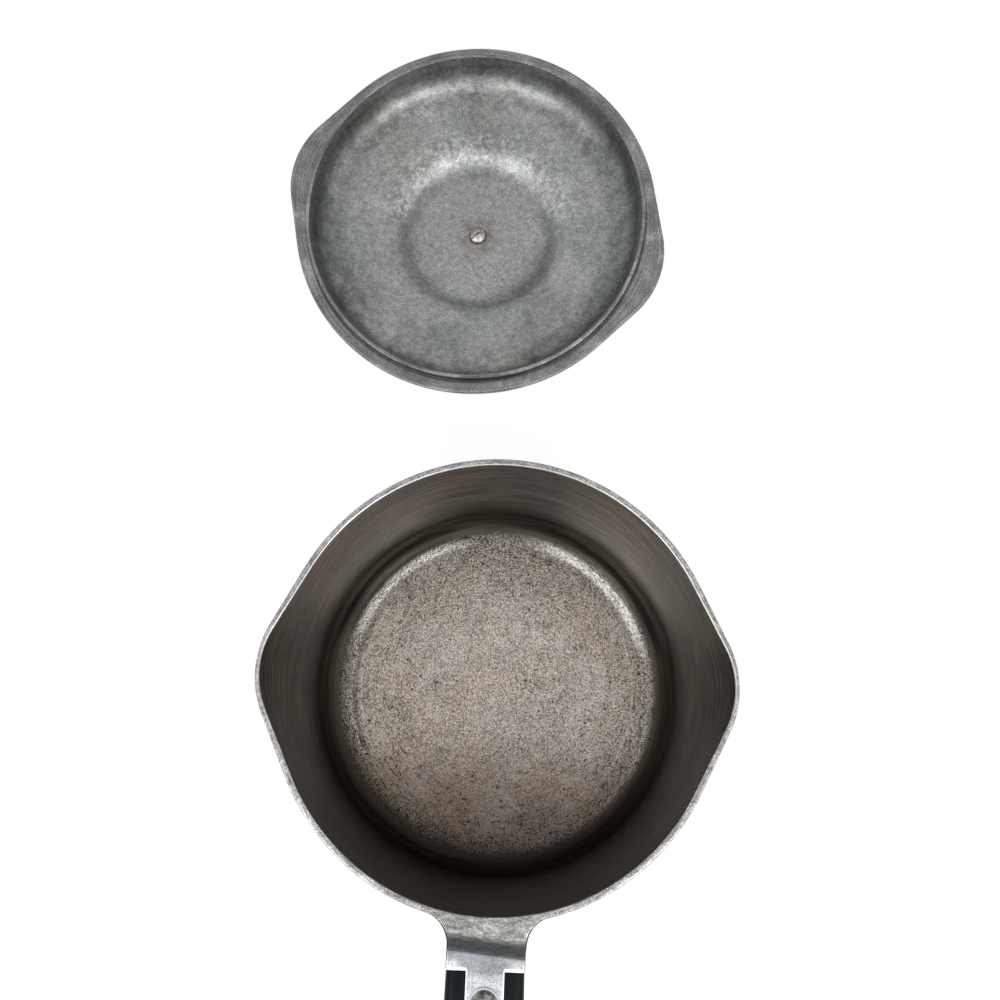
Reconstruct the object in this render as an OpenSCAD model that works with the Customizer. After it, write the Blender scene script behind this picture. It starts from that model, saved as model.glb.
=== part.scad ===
// Cast aluminium saucepan with a pouring spout on each side, a bolted black grip,
// and its lid, which is taken off and lies upside down on its knob beyond the pan.
// Millimetres, +Z up. The origin is the centre of the pan's underside. The handle
// points along -Y, the spouts along X, and the lid lies on the +Y side.

/* [Pan] */
// Outer radius of the pan at its rim, without the spouts
pan_rim_r = 92; // [80:1:110]
// Height of the rim above the table
pan_h = 97; // [80:1:125]
// Thickness of the wall
wall_t = 2.8; // [2.4:0.1:4]
// Thickness of the floor
floor_t = 5; // [3:0.5:8]
// How much smaller the outside radius is at the bottom corner than at the rim
wall_draft = 2.5; // [0:0.5:6]
// Radius of the outside bottom corner
outer_corner_r = 14; // [10:1:18]
// Radius of the inside bottom corner
inner_corner_r = 12.5; // [8:0.5:16]
// Rounding of the rim's edges
rim_edge_r = 0.8; // [0.4:0.1:0.8]
// Height of the turned foot face under the floor
foot_h = 0.5; // [0.3:0.1:1.5]
// How far the foot face stays inside the corner's round
foot_inset = 2; // [1:0.5:5]

/* [Spouts] */
// How far each spout's tip stands out from the rim circle
spout_out = 6.1; // [4:0.1:9]
// Radius of the round tip of a spout, seen from above
spout_tip_r = 40; // [32:1:48]
// Radius of the hollow side of that tip
spout_hollow_r = 33.5; // [28:0.5:37]
// Thickness of the wall at the tip, where it thins out into a pouring lip
spout_lip_t = 1.8; // [1.7:0.1:2.6]
// How far down the wall a spout runs before it has faded out
spout_depth = 52; // [30:1:60]
// How strongly a spout flares towards the rim
spout_flare = 1.5; // [1:0.1:2.5]

/* [Handle bracket] */
// Width of the neck that carries the grip
neck_w = 30.6; // [26:0.2:38]
// Radius of the hollow flare between the neck and the rim
flare_r = 11; // [7:0.5:16]
// Length of the level top of the bracket beyond the rim circle
rim_flat_l = 2.5; // [2:0.5:8]
// Length of the slope from the level top down to the tang
step_l = 9.8; // [7:0.1:14]
// How far the tang's top lies below the rim
tang_drop = 9; // [5:0.5:14]
// Length of the cross bar of the T-shaped tang
bar_l = 6.1; // [4:0.1:10]
// Height of the bar's end face, against which the grip seats
seat_h = 14; // [10:0.5:18]
// How far the bracket runs down the wall from the rim
gusset_h = 36; // [28:1:44]
// Thickness of the tang's stem
tang_t = 5; // [3.5:0.5:6.5]
// Width of the tang's stem
stem_w = 15.2; // [13.5:0.1:18]
// Length of the tang's stem beyond the bar
stem_l = 24; // [20:1:34]

/* [Grip] */
// Length of the grip
grip_l = 140; // [110:5:170]
// Height of the grip at its front
grip_h = 20; // [18:0.5:25]
// How far the grip's end rises above its front
grip_rise = 10; // [0:1:20]
// Clearance round the tang's stem in the grip's slot
slot_gap = 0.15; // [0.1:0.05:0.4]
// Diameter of the hanging hole
hang_d = 9; // [6:0.5:11]
// Distance of the hanging hole from the grip's end
hang_inset = 15; // [12:1:24]

/* [Grip fastening] */
// Distance of the bolt from the bar's end face
bolt_set = 11.6; // [9:0.2:13]
// Diameter of the bolt's shank
bolt_d = 5; // [4:0.5:6]
// Diameter of the bolt's domed head
bolt_head_d = 10.9; // [9:0.1:12]
// Height of the bolt's domed head
bolt_head_h = 3; // [2:0.2:4]
// Diameter of the washers above and below
washer_d = 12.6; // [12:0.1:13.4]
// Thickness of those washers
washer_t = 0.8; // [0.5:0.1:1.2]
// Width of the nut across its flats
nut_flats = 8; // [7:0.5:9.5]
// Height of the nut
nut_h = 4; // [3:0.2:5]
// Depth of the nut below the grip's underside
nut_inset = 1.2; // [0.5:0.1:2.5]
// Clearance of the bolt in its holes
bolt_gap = 0.1; // [0.05:0.05:0.3]

/* [Lid] */
// How far the lid's flange reaches beyond the pan's rim
lid_overhang = 2.5; // [1:0.5:5]
// How far each ear reaches beyond the pan's spout
ear_overhang = 3.1; // [1:0.1:6]
// Radius of the round tip of an ear, seen from above
ear_tip_r = 45; // [30:1:55]
// Thickness of the flange
flange_t = 3; // [2:0.5:4]
// Height of the locating lip under the flange
lip_h = 5; // [3:0.5:8]
// Thickness of the locating lip at its free edge; at its root it is as thick as the dome
lip_t = 1.8; // [1.6:0.1:3]
// Clearance between the lip and the pan's wall
lip_gap = 1.2; // [0.8:0.1:2.5]
// Thickness of the dome
dome_t = 3; // [2:0.5:4]
// Radius of the curve from the lip into the dome, measured on the hollow side
shoulder_r = 13; // [10:0.5:16]
// Radius of the wide curve of the dome, measured on the hollow side
dome_r = 300; // [240:10:400]
// Radius of the plateau under the knob
plateau_r = 33.5; // [30:0.5:42]
// Height of the plateau above the foot of its slope
plateau_h = 6.4; // [4:0.1:8]
// Length of the slope round the plateau
plateau_slope = 16; // [10:0.5:20]

/* [Knob] */
// Diameter of the knob's head
knob_d = 38; // [32:1:46]
// Height of the knob
knob_h = 19.3; // [18:0.1:28]
// Diameter of the knob's foot
knob_foot_d = 26; // [22:1:30]
// Diameter of the knob's neck
knob_neck_d = 21; // [16:1:25]
// Radius of the knob's crowned top
crown_r = 45; // [35:1:70]
// Diameter of the washer under the knob
knob_washer_d = 23; // [18:1:28]
// Thickness of the washer under the knob
knob_washer_t = 1; // [0.6:0.1:2]
// Outer diameter of the threaded insert in the knob
insert_d = 8; // [7:0.5:10]
// Length of the threaded insert
insert_l = 12; // [9:0.5:14]
// Diameter of the knob screw's shank
screw_d = 4; // [3:0.5:5]
// Diameter of the knob screw's domed head
screw_head_d = 8.6; // [7:0.1:10]
// Height of the knob screw's head
screw_head_h = 3; // [2:0.1:3.5]
// Width of the screw's slot
slot_w = 1.1; // [0.8:0.1:1.6]
// Depth of the screw's slot
slot_deep = 1.4; // [1:0.1:1.8]
// Clearance of the screw in its holes
screw_gap = 0.1; // [0.05:0.05:0.3]

/* [Place of the lid] */
// Clear distance between the pan's rim circle and the lid's flange circle
lid_clear = 52; // [20:1:120]
// Sideways shift of the lid from the pan's middle plane
lid_shift = -21.4; // [-80:0.1:80]
// Lean of the lid towards the pan, in degrees
lean_x = 7.05; // [0:0.05:9]
// Sideways lean of the lid, in degrees
lean_y = -2.2; // [-6:0.1:6]
// Turn of the ears away from the line of the spouts, in degrees
ear_turn = -17.6; // [-45:0.1:45]
// Turn of the screw's slot away from the line of the ears, in degrees
slot_turn = -53; // [-90:1:90]

/* [Hidden] */

$fn = 96;
// Overrun of every cut beyond the face that it leaves
cut_over = 1;

// Numbers of facets on the faceted skins
skin_sides = 72;
wall_steps = 7;
corner_steps = 6;
curve_steps = 8;
dome_steps = 5;
grip_sides = 28;
grip_steps = 16;

// Shares of the pan's skin, and how late the bracket's slope falls
bracket_root_share = 0.6;
step_late_share = 1.3;

// Shares of the grip's form, all of its own front size
grip_swell_share = 0.07;
grip_narrow_share = 0.1;
grip_thin_share = 0.28;
grip_end_share = 0.13;
grip_tip_share = 0.25;
grip_front_square_share = 0.3;
grip_end_square_share = 0.6;

// Shares of the knob's form
neck_height_share = 0.34;
head_height_share = 0.72;

// Derived sizes of the pan
spout_foot_z = pan_h - spout_depth;
corner_wall_r = pan_rim_r - wall_draft;
inner_corner_z = floor_t + inner_corner_r;

// Derived places of the bracket, as distances from the pan's axis
flat_end = pan_rim_r + rim_flat_l;
step_end = flat_end + step_l;
seat_s = step_end + bar_l;
bolt_s = seat_s + bolt_set;
tang_z = pan_h - tang_drop;
flare_x = neck_w / 2 + flare_r;
flare_s = sqrt(pow(pan_rim_r + flare_r, 2) - pow(flare_x, 2));
flare_touch_share = pan_rim_r / (pan_rim_r + flare_r);

// Derived sizes of the grip, which is as wide at its front as the neck
grip_half_w = neck_w / 2;
hang_s = seat_s + grip_l - hang_inset;
grip_under_z = tang_z - grip_h;
nut_z = grip_under_z + nut_inset;
nut_seat_z = nut_z + nut_h + washer_t;
// The recess is wide enough for the washer and for the nut's corners
recess_d = washer_d + 2 * bolt_gap;

// Derived sizes of the lid, in its own working pose with the flange's underside at 0
lid_r = pan_rim_r + lid_overhang;
ear_out = spout_out + ear_overhang - lid_overhang;
lip_outer_r = pan_rim_r - wall_t - lip_gap;
lip_inner_r = lip_outer_r - lip_t;
// The shoulder's round runs into the dome's wide curve where both lean alike
shoulder_s = lip_outer_r - dome_t - shoulder_r;
dome_lean = asin(shoulder_s / (dome_r - shoulder_r));
dome_z = -(dome_r - shoulder_r) * cos(dome_lean);
plateau_foot_r = plateau_r + plateau_slope;
plateau_z = dome_height(plateau_foot_r, dome_r) + plateau_h;
lid_top_z = plateau_z + dome_t;
knob_foot_z = lid_top_z + knob_washer_t;
knob_top_z = knob_foot_z + knob_h;
crown_z = knob_top_z - crown_r;
insert_hole_d = screw_d + 2 * screw_gap;

// The upside-down lid stands on the knob's crown, a sphere that touches the table
lid_y = pan_rim_r + lid_clear + lid_r;
lid_z = crown_r + crown_z * cos(lean_x) * cos(lean_y);

// Middle value between a and b at share t
function mix(a, b, t) = a + (b - a) * t;

// A smooth step from 0 to 1 as t goes from 0 to 1
function ease(t) = (1 - cos(180 * t)) / 2;

// Half angle that one spout takes up on a circle of radius r
function spout_angle(r, out, tip_r) = acos((r - tip_r) / (r + out - tip_r));

// Polar radius of a circle with a round-tipped spout at angles 0 and 180
function spouted_r(a, r, out, tip_r) =
    let (
        f = min(a % 180, 180 - a % 180),
        hub = r + out - tip_r,
        edge = spout_angle(r, out, tip_r),
        touch = atan2(tip_r * sin(edge), hub + tip_r * cos(edge))
    )
    f < touch ? hub * cos(f) + sqrt(pow(tip_r, 2) - pow(hub * sin(f), 2))
    : f < edge ? r / cos(edge - f)
    : r;

// How much of the spout is left at height z: none at its foot, all at the rim
function spout_share(z) = z <= spout_foot_z ? 0 : pow((z - spout_foot_z) / spout_depth, spout_flare);

// Height of the lid's wide curve of radius curve_r at radius r
function dome_height(r, curve_r) = dome_z + sqrt(curve_r * curve_r - r * r);

// Height of the hollow side at share t of the way down the plateau's slope
function plateau_height(t) =
    mix(plateau_z, dome_height(plateau_r + plateau_slope * t, dome_r), ease(t));

// Outside radius of the round wall at height z
function wall_r(z) = mix(corner_wall_r, pan_rim_r, max(0, z - outer_corner_r) / (pan_h - outer_corner_r));

// One ring of the pan's outer skin, set in by inset from the outside wall at height z
function outer_ring(z, inset) = [
    for (i = [0 : skin_sides - 1])
        let (
            a = 360 * i / skin_sides,
            bulge = spouted_r(a, pan_rim_r, spout_out, spout_tip_r) - pan_rim_r,
            r = wall_r(z) - inset + bulge * spout_share(z)
        )
        [r * cos(a), r * sin(a), z]
];

// One ring of the pan's inner skin, set out by outset from the inside wall at height z
function inner_ring(z, outset) = [
    for (i = [0 : skin_sides - 1])
        let (
            a = 360 * i / skin_sides,
            rim_r = pan_rim_r - wall_t,
            bulge = spouted_r(a, rim_r, spout_out + wall_t - spout_lip_t, spout_hollow_r) - rim_r,
            r = wall_r(z) - wall_t + outset + bulge * spout_share(z)
        )
        [r * cos(a), r * sin(a), z]
];

// One round ring of the pan's skin
function round_ring(r, z) = [
    for (i = [0 : skin_sides - 1])
        [r * cos(360 * i / skin_sides), r * sin(360 * i / skin_sides), z]
];

// The pan's skin from the foot, up the outside, over the rim and down to the floor
inner_wall_r = wall_r(inner_corner_z) - wall_t;
pan_rings = [
    for (i = [0 : corner_steps])
        let (a = 90 * i / corner_steps)
        round_ring(corner_wall_r - outer_corner_r * (1 - sin(a)), foot_h + outer_corner_r * (1 - cos(a))),
    for (i = [1 : wall_steps])
        outer_ring(mix(foot_h + outer_corner_r, pan_h - rim_edge_r, i / wall_steps), 0),
    for (a = [45, 90])
        outer_ring(pan_h - rim_edge_r * (1 - sin(a)), rim_edge_r * (1 - cos(a))),
    for (a = [90, 45])
        inner_ring(pan_h - rim_edge_r * (1 - sin(a)), rim_edge_r * (1 - cos(a))),
    for (i = [wall_steps : -1 : 1])
        inner_ring(mix(inner_corner_z, pan_h - rim_edge_r, i / wall_steps), 0),
    for (i = [corner_steps : -1 : 0])
        let (a = 90 * i / corner_steps)
        round_ring(inner_wall_r - inner_corner_r * (1 - sin(a)), floor_t + inner_corner_r * (1 - cos(a)))
];

// A closed skin through rings of points, all with the same number of points
module skin(rings) {
    n = len(rings[0]);
    last = (len(rings) - 1) * n;
    sides = [
        for (i = [0 : len(rings) - 2], j = [0 : n - 1])
            let (a = i * n + j, b = i * n + (j + 1) % n)
            each [[a, a + n, b + n], [a, b + n, b]]
    ];
    caps = [[for (j = [0 : n - 1]) j], [for (j = [n - 1 : -1 : 0]) last + j]];
    polyhedron(points = [for (ring = rings) each ring], faces = concat(sides, caps));
}

// Outline of a round plate with a round-tipped ear on each side
module eared_plate(r, out, tip_r) {
    hub = r + out - tip_r;
    edge = spout_angle(r, out, tip_r);
    circle(r);
    for (turn = [0, 180])
        rotate(turn) {
            translate([hub, 0])
                circle(tip_r);
            polygon([
                [0, 0],
                [r * cos(edge), -r * sin(edge)],
                [hub + tip_r * cos(edge), -tip_r * sin(edge)],
                [hub + tip_r * cos(edge), tip_r * sin(edge)],
                [r * cos(edge), r * sin(edge)]
            ]);
        }
}

// The bracket from above: the neck, flared into the rim by two hollow rounds
module bracket_plan() {
    difference() {
        translate([-flare_x * flare_touch_share, -flare_s])
            square([2 * flare_x * flare_touch_share, flare_s]);
        for (side = [-1, 1])
            translate([side * flare_x, -flare_s])
                circle(flare_r);
    }
    translate([-neck_w / 2, -seat_s])
        square([neck_w, seat_s]);
}

// The bracket from the side, drawn as distance from the pan's axis and height
module bracket_side() {
    root_s = pan_rim_r - wall_t;
    seat_z = tang_z - seat_h;
    gusset_z = pan_h - gusset_h;
    polygon([
        [root_s, pan_h],
        for (i = [0 : curve_steps])
            let (t = i / curve_steps)
            [flat_end + step_l * t, pan_h - tang_drop * ease(pow(t, step_late_share))],
        [seat_s, tang_z],
        for (i = [0 : curve_steps])
            let (a = 90 * i / curve_steps)
            [mix(seat_s, root_s, sin(a)), mix(seat_z, gusset_z, 1 - cos(a))],
        [root_s, gusset_z]
    ]);
}

// The cast bracket with the T-shaped tang, hollowed where the pan's wall stands
module bracket() {
    difference() {
        union() {
            intersection() {
                translate([0, 0, pan_h - gusset_h])
                    linear_extrude(gusset_h)
                        bracket_plan();
                rotate([90, 0, -90])
                    linear_extrude(2 * flare_x, center = true)
                        bracket_side();
            }
            translate([0, 0, tang_z - tang_t])
                linear_extrude(tang_t)
                    stem_plan(0);
        }
        translate([0, 0, pan_h - gusset_h - cut_over])
            cylinder(r = pan_rim_r - wall_t * bracket_root_share, h = gusset_h + 2 * cut_over);
        translate([0, -bolt_s, tang_z - tang_t - cut_over])
            cylinder(d = bolt_d + 2 * bolt_gap, h = tang_t + 2 * cut_over);
    }
}

// The tang's stem from above, with a round end, grown by a clearance
module stem_plan(gap) {
    half_w = stem_w / 2 + gap;
    round_s = seat_s + stem_l - stem_w / 2;
    translate([-half_w, -round_s])
        square([2 * half_w, round_s - seat_s + bar_l / 2]);
    translate([0, -round_s])
        circle(half_w);
}

module pan_body() {
    color("#9c9a96")
        union() {
            skin(pan_rings);
            cylinder(r = corner_wall_r - outer_corner_r - foot_inset, h = floor_t / 2);
            bracket();
        }
}

// How full the grip is at share t of its length: whole, then rounded off at the end
function grip_full(t) =
    let (e = max(0, (t - 1 + grip_end_share) / grip_end_share))
    mix(grip_tip_share, 1, sqrt(max(0, 1 - e * e)));

// A rounded-square curve, drawn from the sine or cosine of an angle; a small power is squarer
function squared(v, power) = sign(v) * pow(abs(v), power);

// One section of the grip at share t of its length
function grip_ring(t) =
    let (
        half_w = grip_half_w * (1 + grip_swell_share * sin(180 * t) - grip_narrow_share * t) * grip_full(t),
        full_h = grip_h / 2 * (1 - grip_thin_share * t),
        z = tang_z + grip_rise * t * t - full_h,
        power = mix(grip_front_square_share, grip_end_square_share, ease(min(1, 2 * t)))
    )
    [
        for (i = [0 : grip_sides - 1])
            let (a = 360 * i / grip_sides)
            [
                half_w * squared(cos(a), power),
                -seat_s - grip_l * t,
                z + full_h * grip_full(t) * squared(sin(a), power)
            ]
    ];

// Stations along the grip, close together where its end is rounded off
grip_stations = [
    for (i = [0 : grip_steps - 6]) (1 - grip_end_share) * i / (grip_steps - 6),
    for (a = [18 : 18 : 90]) 1 - grip_end_share * (1 - sin(a))
];

module handle_grip() {
    color("#17191b")
        difference() {
            skin([for (t = grip_stations) grip_ring(t)]);
            translate([0, 0, tang_z - tang_t])
                linear_extrude(tang_t + grip_rise + cut_over)
                    stem_plan(slot_gap);
            translate([0, -bolt_s, grip_under_z - cut_over])
                cylinder(d = bolt_d + 2 * bolt_gap, h = grip_h + cut_over);
            translate([0, -bolt_s, grip_under_z - cut_over])
                cylinder(d = recess_d, h = nut_seat_z - grip_under_z + cut_over);
            translate([0, -hang_s, grip_under_z - cut_over])
                cylinder(d = hang_d, h = grip_h + grip_rise + 2 * cut_over);
        }
}

// A domed head of diameter d and height h, round side up, with its flat face at 0
module domed_head(d, h) {
    dome_r = (d * d / 4 + h * h) / (2 * h);
    intersection() {
        translate([0, 0, h - dome_r])
            sphere(dome_r);
        cylinder(d = d + h, h = h + cut_over);
    }
}

module handle_bolt() {
    head_z = tang_z + washer_t;
    color("#a4a7aa")
        translate([0, -bolt_s, 0]) {
            translate([0, 0, head_z])
                domed_head(bolt_head_d, bolt_head_h);
            translate([0, 0, nut_z])
                cylinder(d = bolt_d, h = head_z - nut_z);
        }
}

// A flat ring of outer diameter d, bore bore_d and thickness t
module flat_ring(d, bore_d, t) {
    difference() {
        cylinder(d = d, h = t);
        translate([0, 0, -cut_over])
            cylinder(d = bore_d, h = t + 2 * cut_over);
    }
}

module bolt_washer() {
    color("#c9cbcd")
        translate([0, -bolt_s, tang_z])
            flat_ring(washer_d, bolt_d + 2 * bolt_gap, washer_t);
}

module nut_washer() {
    color("#c9cbcd")
        translate([0, -bolt_s, nut_z + nut_h])
            flat_ring(washer_d, bolt_d + 2 * bolt_gap, washer_t);
}

module handle_nut() {
    color("#b4b6b8")
        translate([0, -bolt_s, nut_z])
            difference() {
                cylinder(d = nut_flats / cos(30), h = nut_h, $fn = 6);
                translate([0, 0, -cut_over])
                    cylinder(d = bolt_d + bolt_gap, h = nut_h + 2 * cut_over);
            }
}

// Puts a piece of the lid from its working pose to where the lid lies upside down
module on_the_table() {
    translate([lid_shift, lid_y, lid_z])
        rotate([lean_x, lean_y, 0])
            rotate([180, 0, ear_turn])
                children();
}

// Half section of the dome and its lip: the hollow side first, then the outside
module dome_section() {
    outer_r = shoulder_r + dome_t;
    polygon([
        [0, plateau_z],
        for (i = [0 : curve_steps])
            [plateau_r + plateau_slope * i / curve_steps, plateau_height(i / curve_steps)],
        for (i = [1 : dome_steps - 1])
            let (r = mix(plateau_foot_r, dome_r * sin(dome_lean), i / dome_steps))
            [r, dome_height(r, dome_r)],
        for (i = [curve_steps : -1 : 0])
            let (a = (90 - dome_lean) * i / curve_steps)
            [shoulder_s + shoulder_r * cos(a), shoulder_r * sin(a)],
        [lip_inner_r, -lip_h],
        [lip_outer_r, -lip_h],
        for (i = [0 : curve_steps])
            let (a = (90 - dome_lean) * i / curve_steps)
            [shoulder_s + outer_r * cos(a), outer_r * sin(a)],
        for (i = [dome_steps - 1 : -1 : 1])
            let (r = mix(plateau_foot_r + dome_t / 2, (dome_r + dome_t) * sin(dome_lean), i / dome_steps))
            [r, dome_height(r, dome_r + dome_t)],
        for (i = [curve_steps : -1 : 0])
            [plateau_r + dome_t / 2 + plateau_slope * i / curve_steps, plateau_height(i / curve_steps) + dome_t],
        [0, lid_top_z]
    ]);
}

module lid_shell() {
    color("#8d9190")
        on_the_table()
            difference() {
                union() {
                    rotate_extrude()
                        dome_section();
                    difference() {
                        linear_extrude(flange_t)
                            eared_plate(lid_r, ear_out, ear_tip_r);
                        translate([0, 0, -cut_over])
                            cylinder(r = lip_outer_r - lip_t / 2, h = flange_t + 2 * cut_over);
                    }
                }
                translate([0, 0, plateau_z - cut_over])
                    cylinder(d = insert_hole_d, h = dome_t + 2 * cut_over);
            }
}

// Radius of the knob at share t of its height, up to its widest place
function knob_r(t) =
    t < neck_height_share
    ? mix(knob_foot_d, knob_neck_d, ease(t / neck_height_share)) / 2
    : mix(knob_neck_d, knob_d, ease((t - neck_height_share) / (head_height_share - neck_height_share))) / 2;

module lid_knob() {
    edge_steps = 2 * curve_steps;
    color("#17191b")
        on_the_table()
            difference() {
                intersection() {
                    rotate_extrude()
                        polygon([
                            [0, knob_foot_z],
                            for (i = [0 : edge_steps])
                                let (t = head_height_share * i / edge_steps)
                                [knob_r(t), knob_foot_z + knob_h * t],
                            [knob_d / 2, knob_top_z],
                            [0, knob_top_z]
                        ]);
                    translate([0, 0, crown_z])
                        sphere(crown_r);
                }
                translate([0, 0, knob_foot_z - cut_over])
                    cylinder(d = insert_d, h = insert_l + cut_over);
            }
}

module knob_washer() {
    color("#c9cbcd")
        on_the_table()
            translate([0, 0, lid_top_z])
                flat_ring(knob_washer_d, insert_hole_d, knob_washer_t);
}

module knob_insert() {
    color("#b08d45")
        on_the_table()
            translate([0, 0, knob_foot_z])
                flat_ring(insert_d, insert_hole_d, insert_l);
}

module knob_screw() {
    color("#b9bbbc")
        on_the_table() {
            translate([0, 0, plateau_z])
                mirror([0, 0, 1])
                    difference() {
                        domed_head(screw_head_d, screw_head_h);
                        rotate(slot_turn)
                            translate([-screw_head_d, -slot_w / 2, screw_head_h - slot_deep])
                                cube([2 * screw_head_d, slot_w, slot_deep + cut_over]);
                    }
            translate([0, 0, plateau_z])
                cylinder(d = screw_d, h = knob_foot_z + insert_l - plateau_z);
        }
}

pan_body();
handle_grip();
handle_bolt();
bolt_washer();
nut_washer();
handle_nut();
lid_shell();
lid_knob();
knob_washer();
knob_insert();
knob_screw();
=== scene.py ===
"""Looks of a cast aluminium saucepan with two spouts, a bolted black grip and its lid.

Everything is in the row frame, in metres. The shapes below are worked out in
millimetres from the same driving sizes as the CAD model and are scaled by MM.
"""
import math

import bmesh
import bpy
import numpy as np
from mathutils import Euler, Matrix, Vector


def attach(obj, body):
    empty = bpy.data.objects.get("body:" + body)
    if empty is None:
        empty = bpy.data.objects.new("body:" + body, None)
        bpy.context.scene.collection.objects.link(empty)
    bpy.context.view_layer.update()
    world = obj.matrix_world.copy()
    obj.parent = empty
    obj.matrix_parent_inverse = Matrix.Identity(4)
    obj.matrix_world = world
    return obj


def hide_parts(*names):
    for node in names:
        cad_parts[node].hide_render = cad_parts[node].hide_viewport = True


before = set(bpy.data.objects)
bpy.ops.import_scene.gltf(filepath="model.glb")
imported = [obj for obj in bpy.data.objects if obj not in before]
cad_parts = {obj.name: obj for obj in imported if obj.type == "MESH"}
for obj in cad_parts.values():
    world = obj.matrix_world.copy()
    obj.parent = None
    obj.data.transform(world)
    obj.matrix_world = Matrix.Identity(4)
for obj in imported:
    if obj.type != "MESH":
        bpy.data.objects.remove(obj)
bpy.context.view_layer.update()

MM = 0.001

# Driving sizes of the pan, in millimetres
PAN_RIM_R = 92.0
PAN_H = 97.0
WALL_T = 2.8
FLOOR_T = 5.0
WALL_DRAFT = 2.5
OUTER_CORNER_R = 14.0
INNER_CORNER_R = 12.5
RIM_EDGE_R = 0.8
FOOT_H = 0.5
FOOT_INSET = 2.0
SPOUT_OUT = 6.1
SPOUT_TIP_R = 40.0
SPOUT_HOLLOW_R = 33.5
SPOUT_LIP_T = 1.8
SPOUT_DEPTH = 52.0
SPOUT_FLARE = 1.5

# Driving sizes of the bracket, as distances from the pan's axis and heights
NECK_W = 30.6
FLARE_R = 11.0
RIM_FLAT_L = 2.5
STEP_L = 9.8
TANG_DROP = 9.0
BAR_L = 6.1
SEAT_H = 14.0
GUSSET_H = 36.0
STEP_LATE = 1.3
STEP_SKEW = 0.08
TANG_T = 5.0
STEM_W = 15.2
STEM_L = 24.0
FLAT_END = PAN_RIM_R + RIM_FLAT_L
STEP_END = FLAT_END + STEP_L
SEAT_S = STEP_END + BAR_L
TANG_Z = PAN_H - TANG_DROP

# Driving sizes of the grip and its fastening
GRIP_L = 140.0
GRIP_H = 20.0
GRIP_RISE = 10.0
SLOT_GAP = 0.15
HANG_D = 9.0
HANG_INSET = 15.0
GRIP_END = 0.13
GRIP_TIP = 0.25
BOLT_S = SEAT_S + 11.6
BOLT_D = 5.0
BOLT_HEAD_D = 10.9
BOLT_HEAD_H = 3.0
WASHER_D = 12.6
WASHER_T = 0.8
NUT_H = 4.0
NUT_Z = TANG_Z - GRIP_H + 1.2
BOLT_GAP = 0.1
BOLT_HOLE_D = BOLT_D + 2 * BOLT_GAP

# Driving sizes of the lid, in its working pose with the flange's underside at 0
LID_R = PAN_RIM_R + 2.5
EAR_OUT = SPOUT_OUT + 3.1 - 2.5
EAR_TIP_R = 45.0
FLANGE_T = 3.0
LIP_H = 5.0
LIP_T = 1.8
LIP_OUTER_R = PAN_RIM_R - WALL_T - 1.2
LIP_INNER_R = LIP_OUTER_R - LIP_T
DOME_T = 3.0
SHOULDER_R = 13.0
DOME_R = 300.0
PLATEAU_R = 33.5
PLATEAU_H = 6.4
PLATEAU_SLOPE = 16.0
SHOULDER_S = LIP_OUTER_R - DOME_T - SHOULDER_R
DOME_LEAN = math.asin(SHOULDER_S / (DOME_R - SHOULDER_R))
DOME_Z = -(DOME_R - SHOULDER_R) * math.cos(DOME_LEAN)
PLATEAU_FOOT_R = PLATEAU_R + PLATEAU_SLOPE
PLATEAU_Z = DOME_Z + math.sqrt(DOME_R**2 - PLATEAU_FOOT_R**2) + PLATEAU_H
LID_TOP_Z = PLATEAU_Z + DOME_T

# Driving sizes of the knob and its fastening
KNOB_D = 38.0
KNOB_H = 19.3
KNOB_FOOT_D = 26.0
KNOB_NECK_D = 21.0
CROWN_R = 45.0
SEAT_WASHER_D = 23.0
SEAT_WASHER_T = 1.0
INSERT_L = 12.0
SCREW_D = 4.0
SCREW_HEAD_D = 8.6
SCREW_HEAD_H = 3.0
SLOT_W = 1.1
SLOT_DEEP = 1.4
SCREW_GAP = 0.1
SCREW_HOLE_D = SCREW_D + 2 * SCREW_GAP
KNOB_FOOT_Z = LID_TOP_Z + SEAT_WASHER_T
KNOB_TOP_Z = KNOB_FOOT_Z + KNOB_H
CROWN_Z = KNOB_TOP_Z - CROWN_R

# Place of the lid, upside down on its knob beyond the pan
LID_SHIFT = -21.4
LID_CLEAR = 52.0
LEAN_X = math.radians(7.05)
LEAN_Y = math.radians(-2.2)
EAR_TURN = math.radians(-17.6)
SLOT_TURN = math.radians(-49.0)
LID_Z = CROWN_R + CROWN_Z * math.cos(LEAN_X) * math.cos(LEAN_Y)
LID_PLACE = (
    Matrix.Translation((LID_SHIFT, PAN_RIM_R + LID_CLEAR + LID_R, LID_Z))
    @ Euler((LEAN_X, LEAN_Y, 0)).to_matrix().to_4x4()
    @ Euler((math.pi, 0, EAR_TURN)).to_matrix().to_4x4()
)
PAN_PLACE = Matrix.Identity(4)
BOLT_PLACE = Matrix.Translation((0, -BOLT_S, 0))

# Facets round the pan and the lid, facets round small parts, and extra points on a straight side
AROUND = 384
FINE_AROUND = 96
EXTRA = 12


def mix(a, b, t):
    """Value between a and b at share t."""
    return a + (b - a) * t


def ease(t):
    """Smooth step from 0 to 1."""
    return (1 - np.cos(np.pi * t)) / 2


def arc(cx, cz, r, start, stop, steps):
    """Points on an arc in the (radius, height) plane, angles in degrees from +radius."""
    a = np.radians(np.linspace(start, stop, steps + 1))
    return list(zip(cx + r * np.cos(a), cz + r * np.sin(a)))


def circle(sides):
    """Evenly spaced angles all round."""
    return np.linspace(0, 2 * np.pi, sides, endpoint=False)


def rounding(r, *degrees):
    """Inset from the side and drop from the top on an edge of radius r, from 0 at the side to 90."""
    return [(r * (1 - math.cos(a)), r * (1 - math.sin(a))) for a in np.radians(degrees)]


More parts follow.
